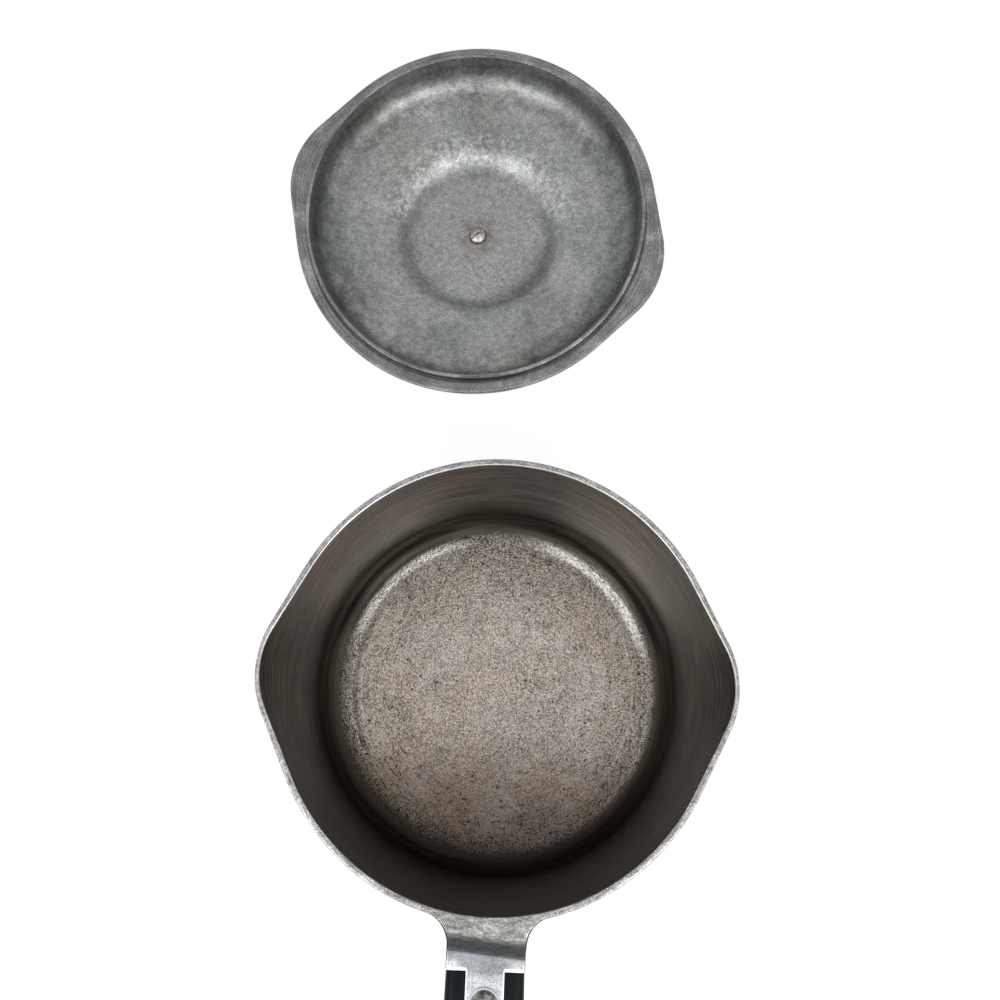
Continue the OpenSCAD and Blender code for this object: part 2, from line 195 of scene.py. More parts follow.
def edge_levels(low, high, edge):
    """Inset and height of the rings up the side of a plate with round edges."""
    under = [(inset, low + drop) for inset, drop in rounding(edge, 90, 60, 30, 0)]
    return under + [(inset, high - drop) for inset, drop in rounding(edge, 0, 30, 60, 90)]


def flat_ring(theta, r, z):
    """One level ring of points."""
    return np.stack([r * np.cos(theta), r * np.sin(theta), np.full_like(theta, z)], 1)


def spouted_radius(theta, r, out, tip_r):
    """Polar radius of a circle with a round-tipped spout at angles 0 and 180 degrees."""
    hub = r + out - tip_r
    edge = math.acos((r - tip_r) / hub)
    touch = math.atan2(tip_r * math.sin(edge), hub + tip_r * math.cos(edge))
    f = np.abs((theta + np.pi / 2) % np.pi - np.pi / 2)
    tip = hub * np.cos(f) + np.sqrt(np.maximum(tip_r**2 - (hub * np.sin(f)) ** 2, 0))
    flank = r / np.cos(np.minimum(edge - f, 1.2))
    return np.where(f < touch, tip, np.where(f < edge, flank, r))


def linked(name, data):
    """A new object in the scene."""
    obj = bpy.data.objects.new(name, data)
    bpy.context.scene.collection.objects.link(obj)
    return obj


def grid_faces(rows, sides, loop=False):
    """Quads between neighbouring rings, each ring running anticlockwise seen from its far side."""
    faces = []
    for i in range(rows if loop else rows - 1):
        k = (i + 1) % rows
        for j in range(sides):
            n = (j + 1) % sides
            faces.append((i * sides + j, i * sides + n, k * sides + n, k * sides + j))
    return faces


def pole_faces(rows, sides):
    """Triangles from the first and the last ring to the two poles, in turn."""
    first_pole, last = rows * sides, (rows - 1) * sides
    faces = []
    for j in range(sides):
        n = (j + 1) % sides
        faces += [(first_pole, n, j), (first_pole + 1, last + j, last + n)]
    return faces


def around_of(rings):
    """Direction round the axis and length along the profile, for each point of the rings."""
    x, y = rings[:, :, 0], rings[:, :, 1]
    step = np.linalg.norm(np.diff(rings, axis=0), axis=2).mean(axis=1)
    run = np.concatenate([[0.0], np.cumsum(step)]) * MM
    r = np.maximum(np.hypot(x, y), 1e-6)
    return np.stack([x / r, y / r, np.repeat(run[:, None], rings.shape[1], 1)], 2).reshape(-1, 3)


def skin(name, rings, faces, place=PAN_PLACE, sharp=50.0, poles=()):
    """A smooth-shaded mesh object from rings of points in millimetres, put at its place.

    Poles are the heights of the two points on the axis that close its ends.
    """
    rings = np.asarray(rings, float)
    points, around = rings.reshape(-1, 3), around_of(rings)
    if poles:
        points = np.vstack([points, [(0, 0, z) for z in poles]])
        around = np.vstack([around, [(0, 0, around[0][2]), (0, 0, around[-1][2])]])
        faces = faces + pole_faces(*rings.shape[:2])
    world = points @ np.array(place.to_3x3()).T + np.array(place.translation)
    mesh = bpy.data.meshes.new(name)
    mesh.from_pydata((world * MM).tolist(), [], faces)
    mesh.validate()
    layer = mesh.attributes.new("around", "FLOAT_VECTOR", "POINT")
    layer.data.foreach_set("vector", around.astype(np.float32).ravel())
    mesh.shade_smooth()
    mesh.set_sharp_from_angle(angle=math.radians(sharp))
    return linked(name, mesh)


def turned(name, profile, place=PAN_PLACE, sides=FINE_AROUND, loop=False, sharp=35.0):
    """A body of revolution. Its profile starts and ends on the axis, or is a closed loop."""
    theta = circle(sides)
    rings = [flat_ring(theta, r, z) for r, z in profile if loop or r > 1e-6]
    poles = () if loop else (profile[0][1], profile[-1][1])
    return skin(name, rings, grid_faces(len(rings), sides, loop), place, sharp, poles)


def lofted(name, rings):
    """A closed skin through rings of points, with flat ends."""
    rows, sides = len(rings), len(rings[0])
    faces = grid_faces(rows, sides)
    faces.append(tuple(range(sides))[::-1])
    faces.append(tuple((rows - 1) * sides + j for j in range(sides)))
    return skin(name, rings, faces)


def plate(name, outline, low, high, edge=0.0):
    """A flat plate of the outline, with its edges rounded by edge."""
    outline = np.array(outline)
    follow = np.roll(outline, -1, 0) - np.roll(outline, 1, 0)
    follow = follow / np.linalg.norm(follow, axis=1)[:, None]
    inward = np.stack([-follow[:, 1], follow[:, 0]], 1)
    rings = []
    for inset, z in edge_levels(low, high, edge) if edge else ((0.0, low), (0.0, high)):
        rings.append(np.column_stack([outline + inward * inset, np.full(len(outline), z)]))
    return lofted(name, rings)


def peg(name, y, low, high, d, sides=64):
    """An upright cylinder on the pan's long axis, which cuts a hole."""
    a = circle(sides)
    return plate(name, np.stack([d / 2 * np.cos(a), y + d / 2 * np.sin(a)], 1), low, high)


def apply_modifiers(obj):
    """Writes the result of the modifiers into the mesh."""
    bpy.context.view_layer.update()
    depsgraph = bpy.context.evaluated_depsgraph_get()
    mesh = bpy.data.meshes.new_from_object(obj.evaluated_get(depsgraph))
    obj.modifiers.clear()
    obj.data = mesh


def cut(obj, *cutters):
    """Takes the cutters out of obj and deletes them."""
    for cutter in cutters:
        tool = obj.modifiers.new("cut", "BOOLEAN")
        tool.operation = "DIFFERENCE"
        tool.solver = "EXACT"
        tool.object = cutter
    apply_modifiers(obj)
    for cutter in cutters:
        bpy.data.objects.remove(cutter)


def soften_edges(obj, voxel_mm, rounds):
    """Remeshes obj evenly and wears its edges round."""
    remesh = obj.modifiers.new("even", "REMESH")
    remesh.mode = "VOXEL"
    remesh.voxel_size = voxel_mm * MM
    remesh.use_smooth_shade = True
    smooth = obj.modifiers.new("wear", "SMOOTH")
    smooth.factor = 0.5
    smooth.iterations = rounds
    apply_modifiers(obj)
    obj.data.shade_smooth()


def paint_rows(obj, names, starts):
    """Gives obj several materials, each from the ring on at which it starts, the first from ring 0."""
    for name in names:
        obj.data.materials.append(MATERIALS[name])
    for face in obj.data.polygons:
        row = min(face.vertices) // AROUND
        face.material_index = sum(row >= start for start in starts)


def dress(obj, node, body, material):
    """Gives a finished piece its material and body, and hides the CAD node it stands in for."""
    obj.data.materials.append(MATERIALS[material])
    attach(obj, body)
    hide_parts(node)


# Pan


def wall_radius(z):
    """Outside radius of the round wall at height z."""
    share = np.maximum(0, z - OUTER_CORNER_R) / (PAN_H - OUTER_CORNER_R)
    return mix(PAN_RIM_R - WALL_DRAFT, PAN_RIM_R, share)


def spout_share(z):
    """How much of the spout is left at height z."""
    return np.maximum(0, (z - (PAN_H - SPOUT_DEPTH)) / SPOUT_DEPTH) ** SPOUT_FLARE


def outer_ring(theta, z, inset=0.0):
    """One ring of the wall's outside, set in by inset."""
    bulge = spouted_radius(theta, PAN_RIM_R, SPOUT_OUT, SPOUT_TIP_R) - PAN_RIM_R
    return flat_ring(theta, wall_radius(z) - inset + bulge * spout_share(z), z)


def inner_ring(theta, z, outset=0.0):
    """One ring of the wall's inside, set out by outset."""
    rim_r = PAN_RIM_R - WALL_T
    bulge = spouted_radius(theta, rim_r, SPOUT_OUT + WALL_T - SPOUT_LIP_T, SPOUT_HOLLOW_R) - rim_r
    return flat_ring(theta, wall_radius(z) - WALL_T + outset + bulge * spout_share(z), z)


def pan_pot():
    """The pot with its spouts, as an outside skin, a rim and an inside skin."""
    theta = circle(AROUND)
    base_steps, corner_steps, wall_steps, floor_steps = 12, 12, 36, 24
    foot_bevel = 0.3
    outer_z, inner_z, top_z = FOOT_H + OUTER_CORNER_R, FLOOR_T + INNER_CORNER_R, PAN_H - RIM_EDGE_R
    foot_r = PAN_RIM_R - WALL_DRAFT - OUTER_CORNER_R - FOOT_INSET
    floor_r = wall_radius(inner_z) - WALL_T - INNER_CORNER_R

    profile = [(r, 0) for r in np.linspace(foot_r / base_steps, foot_r - foot_bevel, base_steps)]
    profile += [(foot_r, foot_bevel), (foot_r, FOOT_H)]
    profile += arc(foot_r + FOOT_INSET, outer_z, OUTER_CORNER_R, -90, 0, corner_steps)
    rings = [flat_ring(theta, r, z) for r, z in profile]
    for i in range(1, wall_steps + 1):
        rings.append(outer_ring(theta, mix(outer_z, top_z, i / wall_steps)))
    rim_row = len(rings) - 1
    for inset, drop in rounding(RIM_EDGE_R, 22.5, 45, 67.5, 90):
        rings.append(outer_ring(theta, PAN_H - drop, inset))
    for outset, drop in rounding(RIM_EDGE_R, 90, 67.5, 45, 22.5, 0):
        rings.append(inner_ring(theta, PAN_H - drop, outset))
    inside_row = len(rings) - 1
    for i in range(wall_steps - 1, -1, -1):
        rings.append(inner_ring(theta, mix(inner_z, top_z, i / wall_steps)))
    profile = arc(floor_r, inner_z, INNER_CORNER_R, 0, -90, corner_steps)[1:]
    profile += [(floor_r * i / floor_steps, FLOOR_T) for i in range(floor_steps - 1, 0, -1)]
    rings += [flat_ring(theta, r, z) for r, z in profile]

    pot = skin("pan_pot", rings, grid_faces(len(rings), AROUND), poles=(0, FLOOR_T))
    paint_rows(pot, ("pan_outside", "pan_rim", "pan_inside"), (rim_row, inside_row))
    return pot


def rounded_section(half_w, low, high, low_r, high_r, corner_sides=6):
    """A rectangle with rounded corners in the (x, z) plane, anticlockwise seen from -Y."""
    low_r = min(low_r, half_w * 0.9, (high - low) * 0.45)
    high_r = min(high_r, half_w * 0.9, (high - low) * 0.45)
    corners = (
        (half_w - low_r, low + low_r, low_r, -90),
        (half_w - high_r, high - high_r, high_r, 0),
        (-half_w + high_r, high - high_r, high_r, 90),
        (-half_w + low_r, low + low_r, low_r, 180),
    )
    arcs = [arc(x, z, r, start, start + 90, corner_sides) for x, z, r, start in corners]
    points = []
    for this, following in zip(arcs, arcs[1:] + arcs[:1]):
        a, b = np.array(this[-1]), np.array(following[0])
        points += this + [tuple(mix(a, b, t)) for t in np.linspace(0, 1, EXTRA + 2)[1:-1]]
    return points


def bracket_top(s, x):
    """Height of the bracket's top at distance s from the pan's axis, its slope a little askew."""
    above_rim = 0.015
    share = min(1, max(0, (s - FLAT_END - STEP_SKEW * x) / STEP_L))
    return PAN_H + above_rim - TANG_DROP * ease(share**STEP_LATE)


def neck_half_width(s, z):
    """Half width of the neck at distance s and height z, its sides flared into the wall."""
    wall_r = float(wall_radius(z))
    flare_x = NECK_W / 2 + FLARE_R
    reach = math.sqrt((wall_r + FLARE_R) ** 2 - flare_x**2)
    touch = wall_r * reach / (wall_r + FLARE_R)
    if s >= reach:
        return NECK_W / 2
    if s >= touch:
        return flare_x - math.sqrt(FLARE_R**2 - (reach - s) ** 2)
    depth, depth_run = 1.2, 0.8
    buried = depth * min(1, (touch - s) / depth_run)
    return math.sqrt((wall_r - buried) ** 2 - s * s)


def bracket_neck():
    """The cast neck: flared into the rim, level, then stepped down to the tang's bar."""
    root_s = PAN_RIM_R - WALL_T
    first_s, middle_s = 87.6, 100.0
    half_w, low_r, high_r, end_r = NECK_W / 2, 5.0, 1.1, 0.7
    sunk_in_wall = 0.9
    fade_z = TANG_Z - 4
    stations = list(np.linspace(first_s, middle_s, 42)[:-1])
    stations += list(np.linspace(middle_s, SEAT_S - end_r, 24)[:-1])
    stations += [SEAT_S - back for _, back in rounding(end_r, 0, 22.5, 45, 67.5, 90)]
    rings = []
    for s in stations:
        lean = math.asin(min(1, (SEAT_S - s) / (SEAT_S - root_s)))
        low = mix(TANG_Z - SEAT_H, PAN_H - GUSSET_H, 1 - math.cos(lean))
        shrink = end_r - math.sqrt(max(0, end_r**2 - max(0, s - SEAT_S + end_r) ** 2))
        ring = []
        for x, z in rounded_section(half_w - shrink, low + shrink, PAN_H - shrink, low_r, high_r):
            x *= neck_half_width(s, z) / half_w
            root_r = float(wall_radius(z)) - WALL_T + sunk_in_wall
            out = max(s, math.sqrt(root_r**2 - x * x))
            drop = PAN_H - bracket_top(out, x)
            ring.append((x, -out, z - drop * max(0, (z - fade_z) / (PAN_H - fade_z))))
        rings.append(ring)
    return skin("bracket_neck", rings, neck_faces(len(rings), len(rings[0])))


def neck_faces(rows, sides):
    """Faces of the neck. Its first ring is closed by upright strips, which follow the pan's wall."""
    faces = grid_faces(rows, sides)
    faces.append(tuple((rows - 1) * sides + j for j in range(sides)))
    quarter = sides // 4
    corner = quarter - EXTRA
    across = quarter + corner
    lower = [(3 * quarter + k) % sides for k in range(across)]
    upper = [2 * quarter + corner - 1 - k for k in range(across)]
    for k in range(across - 1):
        face = [upper[k], upper[k + 1], lower[k + 1], lower[k]]
        if k == 0:
            face += range(lower[0] - 1, upper[0], -1)
        if k == across - 2:
            face[2:2] = range(upper[-1] - 1, lower[-1], -1)
        faces.append(tuple(face))
    return faces


def stem_outline(gap, steps=12):
    """The stem from above, with a round end, anticlockwise, as (x, y)."""
    half_w = STEM_W / 2 + gap
    round_s = SEAT_S + STEM_L - STEM_W / 2
    a = np.radians(np.linspace(180, 360, 2 * steps + 1))
    end = [(half_w * math.cos(t), -round_s + half_w * math.sin(t)) for t in a]
    return [(-half_w, -SEAT_S + BAR_L / 2)] + end + [(half_w, -SEAT_S + BAR_L / 2)]


def pan_body():
    """The whole casting: pot, bracket neck and T-shaped tang."""
    sunk, edge = 0.01, 0.6
    pot = pan_pot()
    neck = bracket_neck()
    stem = plate("stem", stem_outline(0), TANG_Z - TANG_T, TANG_Z - sunk, edge)
    for obj in (neck, stem):
        obj.data.materials.append(MATERIALS["pan_bracket"])
    both = {"selected_objects": [pot, neck, stem], "selected_editable_objects": [pot, neck, stem]}
    with bpy.context.temp_override(active_object=pot, **both):
        bpy.ops.object.join()
    pot.name = "pan_casting"
    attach(pot, "pan")
    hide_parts("pan_body")


# Grip


def grip_full(t):
    """How full the grip is at share t of its length."""
    e = max(0, (t - 1 + GRIP_END) / GRIP_END)
    return mix(GRIP_TIP, 1, math.sqrt(max(0, 1 - e * e)))


def grip_ring(t, sides=72):
    """One section of the grip at share t of its length, square at the tang and rounder beyond."""
    square = mix(0.3, 0.6, float(ease(min(1, 2 * t))))
    half_w = NECK_W / 2 * (1 + 0.07 * math.sin(math.pi * t) - 0.1 * t) * grip_full(t)
    full_h = GRIP_H / 2 * (1 - 0.28 * t)
    z = TANG_Z + GRIP_RISE * t * t - full_h
    c, s = np.cos(circle(sides)), np.sin(circle(sides))
    return np.stack([
        half_w * np.sign(c) * np.abs(c) ** square,
        np.full(sides, -SEAT_S - GRIP_L * t),
        z + full_h * grip_full(t) * np.sign(s) * np.abs(s) ** square,
    ], 1)


def handle_grip():
    """The moulded grip with its slot, bolt hole, nut recess and hanging hole."""
    stations = list(np.linspace(0, 1 - GRIP_END, 48))
    stations += [1 - back for _, back in rounding(GRIP_END, *range(6, 91, 6))]
    grip = lofted("handle_grip_shell", [grip_ring(t) for t in stations])
    open_end = 6
    slot = [(x, y + open_end if y > -SEAT_S else y) for x, y in stem_outline(SLOT_GAP)]
    hang_y = -(SEAT_S + GRIP_L - HANG_INSET)
    under = TANG_Z - GRIP_H - 2
    over = TANG_Z + GRIP_RISE + 5
    recess_top = NUT_Z + NUT_H + WASHER_T
    cut(
        grip,
        plate("slot", slot, TANG_Z - TANG_T, TANG_Z + 12),
        peg("bolt_hole", -BOLT_S, under, TANG_Z, BOLT_HOLE_D),
        peg("recess", -BOLT_S, under, recess_top, WASHER_D + 2 * BOLT_GAP),
        peg("hang", hang_y, under, over, HANG_D),
    )
    soften_edges(grip, 0.4, 3)
    dress(grip, "handle_grip", "pan", "phenolic")


def dome_profile(d, h, steps=14):
    """Half section of a domed head, from its rim up to its top."""
    r = (d * d / 4 + h * h) / (2 * h)
    low = math.degrees(math.asin((r - h) / r))
    return [(max(x, 0), z) for x, z in arc(0, h - r, r, low, 90, steps)]


def washer(name, node, body, place, low, d, bore_d, t):
    """A flat steel washer with worn edges."""
    e = t * 0.25
    inner, outer = bore_d / 2 + e, d / 2 - e
    high = low + t - e
    profile = []
    for r, z, start in ((outer, low + e, -90), (outer, high, 0), (inner, high, 90), (inner, low + e, 180)):
        profile += arc(r, z, e, start, start + 90, 3)
    dress(turned(name, profile, place, loop=True), node, body, "steel")


def handle_bolt():
    """The domed bolt through the stem and the grip."""
    shank, shank_e = BOLT_D / 2, 0.4
    head, head_e = BOLT_HEAD_D / 2, 0.15
    head_z = TANG_Z + WASHER_T
    profile = [(0, NUT_Z), (shank - shank_e, NUT_Z), (shank, NUT_Z + shank_e), (shank, head_z)]
    profile += [(head - head_e, head_z), (head, head_z + head_e)]
    profile += [(r, head_z + z) for r, z in dome_profile(BOLT_HEAD_D, BOLT_HEAD_H) if z > 2 * head_e]
    dress(turned("bolt", profile, BOLT_PLACE), "handle_bolt", "pan", "bolt_steel")


# Lid


def dome_height(r, curve_r):
    """Height of the lid's wide curve of radius curve_r at radius r."""
    return DOME_Z + math.sqrt(curve_r**2 - r * r)


def plateau_height(t):
    """Height of the hollow side at share t of the way down the plateau's slope."""
    return mix(PLATEAU_Z, dome_height(PLATEAU_R + PLATEAU_SLOPE * t, DOME_R), float(ease(t)))


def lid_shell():
    """The lid's casting: bored plateau, dome, locating lip and eared flange."""
    theta = circle(AROUND)
    bevel, lip_e, flange_e = 0.3, 0.4, 0.6
    root_w, root_h = 0.6, 0.8
    bore_r = SCREW_HOLE_D / 2
    lean = math.degrees(DOME_LEAN)
    slope = np.linspace(0, 1, 33)

    hollow = [(bore_r + bevel, PLATEAU_Z)]
    hollow += [(r, PLATEAU_Z) for r in np.linspace(6, PLATEAU_R - 2, 10)]
    hollow += [(PLATEAU_R + PLATEAU_SLOPE * t, plateau_height(t)) for t in slope]
    lean_r = DOME_R * math.sin(DOME_LEAN)
    hollow += [(r, dome_height(r, DOME_R)) for r in np.linspace(PLATEAU_FOOT_R, lean_r, 12)[1:-1]]
    hollow += arc(SHOULDER_S, 0, SHOULDER_R, 90 - lean, 0, 24)
    lip_row = len(hollow)
    hollow += arc(LIP_INNER_R + lip_e, -LIP_H + lip_e, lip_e, 180, 270, 4)
    hollow += arc(LIP_OUTER_R - lip_e, -LIP_H + lip_e, lip_e, 270, 360, 4)
    hollow += arc(LIP_OUTER_R + bevel, -bevel, bevel, 180, 90, 4)

    outer_r = SHOULDER_R + DOME_T
    low = math.degrees(math.asin((FLANGE_T + root_h) / outer_r))
    outside = arc(SHOULDER_S, 0, outer_r, low, 90 - lean, 22)
    edge = PLATEAU_R + DOME_T / 2
    lean_r = (DOME_R + DOME_T) * math.sin(DOME_LEAN)
    for r in np.linspace(lean_r, edge + PLATEAU_SLOPE, 12)[1:-1]:
        outside.append((r, dome_height(r, DOME_R + DOME_T)))
    outside += [(edge + PLATEAU_SLOPE * t, plateau_height(t) + DOME_T) for t in slope[::-1]]
    outside += [(r, LID_TOP_Z) for r in np.linspace(edge - 2, 6, 10)]
    outside += [(bore_r + bevel, LID_TOP_Z), (bore_r, LID_TOP_Z - bevel), (bore_r, PLATEAU_Z + bevel)]

    edge_r = spouted_radius(theta, LID_R, EAR_OUT, EAR_TIP_R)
    rings = [flat_ring(theta, r, z) for r, z in hollow]
    for t in (0.25, 0.5, 0.75):
        rings.append(flat_ring(theta, mix(LIP_OUTER_R + bevel, edge_r - flange_e, t), 0.0))
    rings += [flat_ring(theta, edge_r - inset, z) for inset, z in edge_levels(0.0, FLANGE_T, flange_e)]
    flange_end = len(rings) - 2
    for t in (0.75, 0.5, 0.25, 0.0):
        rings.append(flat_ring(theta, mix(outside[0][0] + root_w, edge_r - flange_e, t), FLANGE_T))
    rings += [flat_ring(theta, r, z) for r, z in outside]

    obj = skin("lid_casting", rings, grid_faces(len(rings), AROUND, True), LID_PLACE)
    paint_rows(obj, ("lid_inside", "lid_flange", "lid_outside"), (lip_row, flange_end))
    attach(obj, "lid")
    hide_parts("lid_shell")


def lid_knob():
    """The moulded knob with its crowned top, on which the lid stands."""
    neck_t, head_t = 0.34, 0.72
    foot_e, foot_lift, foot_flare = 0.8, 0.3, 0.4
    half, edge_e, crown_e = KNOB_D / 2, 0.35, 1.2
    profile = [(0, KNOB_FOOT_Z), (KNOB_FOOT_D / 2 - foot_e, KNOB_FOOT_Z)]
    for t in np.linspace(0, neck_t, 12):
        width = mix(KNOB_FOOT_D, KNOB_NECK_D, ease(t / neck_t))
        profile.append((width / 2 - foot_flare * math.exp(-60 * t), KNOB_FOOT_Z + foot_lift + KNOB_H * t))
    for t in np.linspace(neck_t, head_t, 14)[1:]:
        width = mix(KNOB_NECK_D, KNOB_D, ease((t - neck_t) / (head_t - neck_t)))
        profile.append((width / 2, KNOB_FOOT_Z + KNOB_H * t))
    side_z = profile[-1][1]
    edge_z = CROWN_Z + math.sqrt(CROWN_R**2 - (half - crown_e) ** 2)
    profile += [(half, mix(side_z, edge_z, t)) for t in (0.3, 0.6)]
    profile.append((half - edge_e, edge_z - edge_e))
    top = math.degrees(math.asin((half - crown_e) / CROWN_R))
    profile += [(max(x, 0), z) for x, z in arc(0, CROWN_Z, CROWN_R, 90 - top, 90, 16)]
    obj = turned("knob", profile, LID_PLACE, sides=128, sharp=60.0)
    dress(obj, "lid_knob", "lid", "phenolic")


def knob_screw():
    """The slotted domed screw that holds the knob, seen in the hollow of the lid."""
    place = LID_PLACE @ Matrix.Translation((0, 0, PLATEAU_Z)) @ Matrix.Rotation(math.pi, 4, "X")
    place.translation = place.translation * MM
    shank, shank_e = SCREW_D / 2, 0.3
    head, head_e = SCREW_HEAD_D / 2, 0.12
    end = PLATEAU_Z - KNOB_FOOT_Z - INSERT_L
    side = 1.3
    profile = [(0, end), (shank - shank_e, end), (shank, end + shank_e), (shank, 0)]
    profile += [(head - head_e, 0), (head, head_e), (head, side)]
    profile += [(r, z + side) for r, z in dome_profile(SCREW_HEAD_D, SCREW_HEAD_H - side, 20) if z > 0.1]
    screw = turned("screw", profile)
    half_l, half_w = SCREW_HEAD_D, SLOT_W / 2
    box = [(-half_l, -half_w), (half_l, -half_w), (half_l, half_w), (-half_l, half_w)]
    slot = plate("slot", box, SCREW_HEAD_H - SLOT_DEEP, SCREW_HEAD_H + 2)
    slot.data.transform(Matrix.Rotation(-SLOT_TURN, 4, "Z"))
    cut(screw, slot)
    soften_edges(screw, 0.1, 2)
    screw.data.transform(place)
    dress(screw, "knob_screw", "lid", "screw_steel")


# Materials

# Spans of a noise in which most of its values lie
MID = (0.36, 0.64)
WIDE = (0.3, 0.7)


class Field:
    """A value that varies over a surface, with plain arithmetic."""

    def __init__(self, paint, socket):
        self.paint = paint
        self.socket = socket

    def __add__(self, other):
        return self.paint.math("ADD", self, other)

    def __sub__(self, other):
        return self.paint.math("SUBTRACT", self, other)

    def __rsub__(self, other):
        return self.paint.math("SUBTRACT", other, self)

    def __mul__(self, other):
        return self.paint.math("MULTIPLY", self, other)

    def __truediv__(self, other):
        return self.paint.math("DIVIDE", self, other)

    def __abs__(self):
        return self.paint.math("ABSOLUTE", self)

    def most(self, other):
        """The larger of the two."""
        return self.paint.math("MAXIMUM", self, other)

    def band(self, low, high, to_low=0.0, to_high=1.0):
        """A smooth change, from to_low where the value is low to to_high where it is high."""
        inputs = {"Value": self, "From Min": low, "From Max": high, "To Min": to_low, "To Max": to_high}
        return self.paint.field("ShaderNodeMapRange", inputs, interpolation_type="SMOOTHSTEP")

    def fade(self, end):
        """1 where the value is 0, and end where it is 1."""
        return self.band(0.0, 1.0, 1.0, end)

    def between(self, a, b):
        """The value a where this one is 0, and b where it is 1."""
        return self.paint.field("ShaderNodeMix", {0: self, 2: a, 3: b}, data_type="FLOAT")


class Coat(Field):
    """A colour that is painted on layer by layer."""

    def __init__(self, share, low, high):
        mixed = share.paint.blend(share, low, high)
        super().__init__(mixed.paint, mixed.socket)

    def stain(self, share, color, how="MIX"):
        """Lays a colour over it by a share."""
        self.socket = self.paint.blend(share, self, color, how).socket

    def tone(self, value):
        """Makes it darker or lighter by a value."""
        inputs = {0: self, "Scale": value}
        self.socket = self.paint.field("ShaderNodeVectorMath", inputs, operation="SCALE").socket

    def vary(self, noise, low, high):
        """Makes it darker or lighter with a noise, from the low to the high tone."""
        self.tone(noise.band(*MID, low, high))


class Paint:
    """One material, built node by node on a Principled shader."""

    def __init__(self, name, on_lid=False, **constants):
        self.material = bpy.data.materials.new(name)
        self.material.use_nodes = True
        self.tree = self.material.node_tree
        self.shader = self.tree.nodes["Principled BSDF"]
        for socket, value in constants.items():
            self.shader.inputs[socket.replace("_", " ")].default_value = value
        # The place in the frame, and on the lid the place in its own frame, so that its marks stay put
        self.place = self.table = self.field("ShaderNodeTexCoord", {}, "Object")
        if on_lid:
            shift = tuple(v * MM for v in LID_PLACE.translation)
            turn = tuple(LID_PLACE.to_3x3().transposed().to_euler())
            moved = self.field("ShaderNodeVectorMath", {0: self.table, 1: shift}, operation="SUBTRACT")
            inputs = {"Vector": moved, "Rotation": turn}
            self.place = self.field("ShaderNodeVectorRotate", inputs, rotation_type="EULER_XYZ")

    def put(self, socket, value):
        """Links a field to a socket, or sets a plain value on it."""
        if isinstance(value, Field):
            self.tree.links.new(value.socket, socket)
        else:
            socket.default_value = value

    def field(self, kind, inputs, output=0, **settings):
        """One output of a new shader node."""
        node = self.tree.nodes.new(kind)
        for key, value in settings.items():
            setattr(node, key, value)
        for key, value in inputs.items():
            self.put(node.inputs[key], value)
        return Field(self, node.outputs[output])

    def math(self, operation, a, b=0.0):
        return self.field("ShaderNodeMath", {0: a, 1: b}, operation=operation)

    def stretch(self, vector, scale):
        """The vector with X, Y and Z each scaled."""
        return self.field("ShaderNodeVectorMath", {0: vector, 1: scale}, operation="MULTIPLY")

    def split(self, vector):
        """X, Y and Z of a vector."""
        return [self.field("ShaderNodeSeparateXYZ", {0: vector}, axis) for axis in range(3)]

    def facing(self):
        """X, Y and Z of the direction in which the surface faces."""
        return self.split(self.field("ShaderNodeNewGeometry", {}, "Normal"))

    def measures(self, place=None):
        """X, Y and Z of a place and its distance from the axis, in millimetres."""
        x, y, z = self.split(self.stretch(place or self.place, (1 / MM, 1 / MM, 1 / MM)))
        return x, y, z, self.math("SQRT", x * x + y * y)

    def noise(self, scale, detail, rough, distortion=0.0, vector=None):
        """Noise over the surface, or over another vector."""
        inputs = {"Vector": vector or self.place, "Scale": scale, "Detail": detail}
        inputs.update({"Roughness": rough, "Distortion": distortion})
        return self.field("ShaderNodeTexNoise", inputs, "Fac")

    def streaks(self, long, fine, detail, rough):
        """Noise drawn out into lines round the axis: long scales it along them, fine across them."""
        around = self.field("ShaderNodeAttribute", {}, "Vector", attribute_name="around")
        return self.noise(1.0, detail, rough, vector=self.stretch(around, (long, long, fine)))

    def pits(self, vector, scale, size):
        """1 in round pits of a size given as a share of a cell."""
        cells = self.field("ShaderNodeTexVoronoi", {"Vector": vector, "Scale": scale}, "Distance")
        return (size - cells).band(0.0, 0.05)

    def blend(self, share, a, b, how="MIX"):
        """The colour a where the share is 0, and b where it is 1."""
        a, b = (color if isinstance(color, Field) else (*color, 1.0) for color in (a, b))
        return self.field("ShaderNodeMix", {0: share, 6: a, 7: b}, 2, data_type="RGBA", blend_type=how)

    def finish(self, coat, roughness, height, bump_strength, bump_mm):
        """Connects the colour, the roughness and the height of the bumps, and returns the material."""
        inputs = {"Height": height, "Strength": bump_strength, "Distance": bump_mm * MM}
        self.put(self.shader.inputs["Base Color"], coat)
        self.put(self.shader.inputs["Roughness"], roughness)
        self.put(self.shader.inputs["Normal"], self.field("ShaderNodeBump", inputs))
        return self.material


# Radius from which the marks at the edge of the pan's floor are measured
MARKS_R = 74.2


